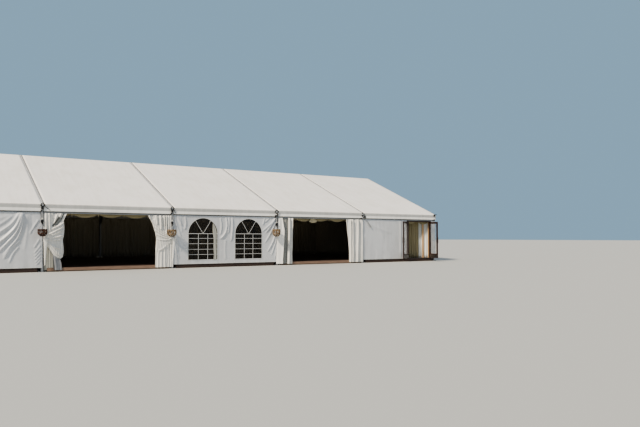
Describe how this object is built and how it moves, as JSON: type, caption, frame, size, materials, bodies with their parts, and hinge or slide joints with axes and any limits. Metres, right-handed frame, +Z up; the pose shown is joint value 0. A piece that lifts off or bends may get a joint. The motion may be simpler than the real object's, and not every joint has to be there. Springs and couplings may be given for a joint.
{
  "type": "framed marquee tent",
  "caption": "Framed marquee tent with white coated-fabric roof and walls on aluminium portal frames, arched windows, gathered entrance curtains and a glazed double door.",
  "frame": {"origin": "centre of the floor deck's underside, on the ground", "axes": "+X along the tent towards the gable with the door, +Y from the front to the back, +Z up"},
  "size_m": [25.3, 12.9393, 5.0466],
  "materials": {
    "roof_fabric": "matt coated fabric",
    "wall_fabric": "semi-matt coated fabric",
    "curtain_fabric": "semi-matt coated fabric",
    "window_film": "clear flexible film",
    "aluminium": "anodised",
    "door_timber": "dark stained",
    "door_glass": "clear glass",
    "floor_timber": "bare boards"
  },
  "bodies": {
    "marquee": {"portal_frame_1": "aluminium", "portal_frame_2": "aluminium", "portal_frame_3": "aluminium", "portal_frame_4": "aluminium", "portal_frame_5": "aluminium", "portal_frame_6": "aluminium", "ridge_purlin": "aluminium", "purlin_front": "aluminium", "purlin_back": "aluminium", "eave_rail_front": "aluminium", "eave_rail_back": "aluminium", "gable_post_left_front": "aluminium", "gable_post_left_back": "aluminium", "gable_post_right_front": "aluminium", "gable_post_right_back": "aluminium", "valance_front": "wall_fabric", "valance_back": "wall_fabric", "roof_sheet_front_1": "roof_fabric", "roof_sheet_front_2": "roof_fabric", "roof_sheet_front_3": "roof_fabric", "roof_sheet_front_4": "roof_fabric", "roof_sheet_front_5": "roof_fabric", "roof_sheet_back_1": "roof_fabric", "roof_sheet_back_2": "roof_fabric", "roof_sheet_back_3": "roof_fabric", "roof_sheet_back_4": "roof_fabric", "roof_sheet_back_5": "roof_fabric", "gable_wall_left": "wall_fabric", "gable_wall_right": "wall_fabric", "back_wall": "wall_fabric", "wall_left_bay_1": "wall_fabric", "wall_right_bay_1": "wall_fabric", "window_wall_bay_3": "wall_fabric", "wall_bay_5": "wall_fabric", "window_left_bay_3": "window_film", "window_right_bay_3": "window_film", "curtain_left_bay_2": "curtain_fabric", "curtain_right_bay_2": "curtain_fabric", "curtain_left_bay_4": "curtain_fabric", "curtain_right_bay_4": "curtain_fabric", "floor_deck": "floor_timber", "door_frame": "door_timber"},
    "left_door": {"door_left": "door_timber", "door_left_glass": "door_glass"},
    "right_door": {"door_right": "door_timber", "door_right_glass": "door_glass"}
  },
  "joints": [
    {"name": "left_door_hinge", "type": "hinge", "parent": "marquee", "child": "left_door", "pos_m": [10.533, -6.051, 1], "axis": [0, 0, 1], "range_deg": [-20, 152]},
    {"name": "right_door_hinge", "type": "hinge", "parent": "marquee", "child": "right_door", "pos_m": [12.157, -6.051, 1], "axis": [0, 0, 1], "range_deg": [-78, 94]}
  ]
}
